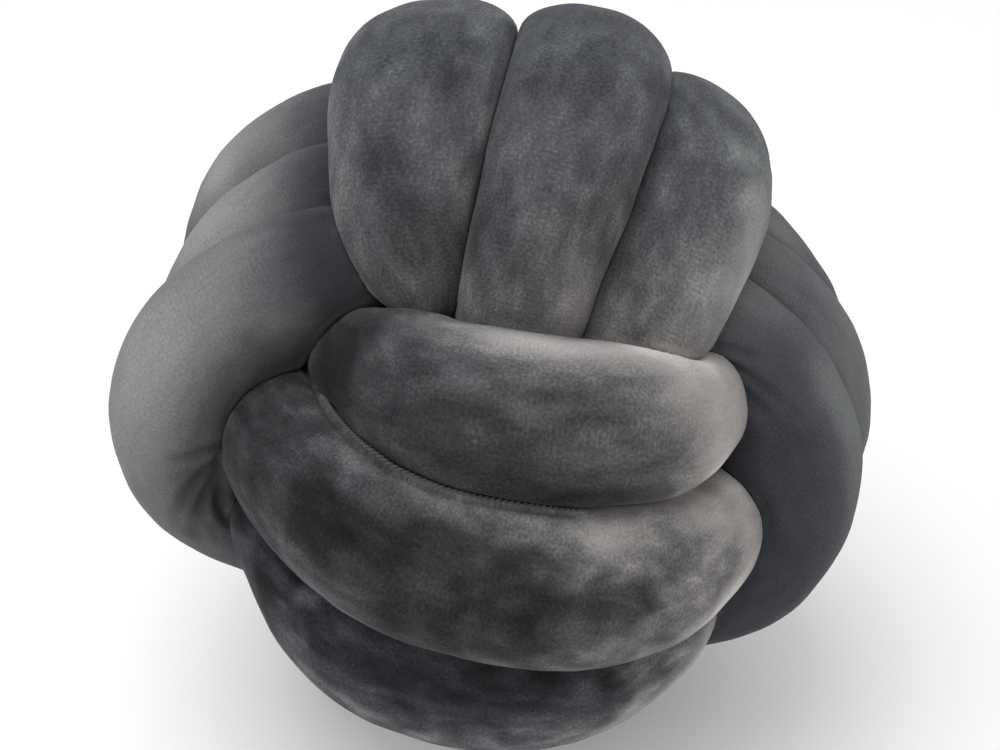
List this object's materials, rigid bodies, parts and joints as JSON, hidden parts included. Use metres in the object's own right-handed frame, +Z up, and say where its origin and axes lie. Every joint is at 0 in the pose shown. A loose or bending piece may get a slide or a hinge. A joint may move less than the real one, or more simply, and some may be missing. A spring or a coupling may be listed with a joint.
{
  "type": "knotted ball cushion",
  "caption": "Round soft cushion made of one long stuffed plush tube, wound into interlocked coils and tucked into a ball that rests on a small flat spot.",
  "frame": {"origin": "on the surface the ball rests on, under the middle of its outline", "axes": "+Z up as the ball rests, -Y to the front, where three turns lie nearly level, +X to the right as seen from the front"},
  "size_m": [0.342, 0.3623, 0.35],
  "materials": {
    "plush": "short crushed pile, dark grey, soft uneven sheen"
  },
  "bodies": {
    "root": {"knotted_tube": "plush"}
  },
  "joints": []
}
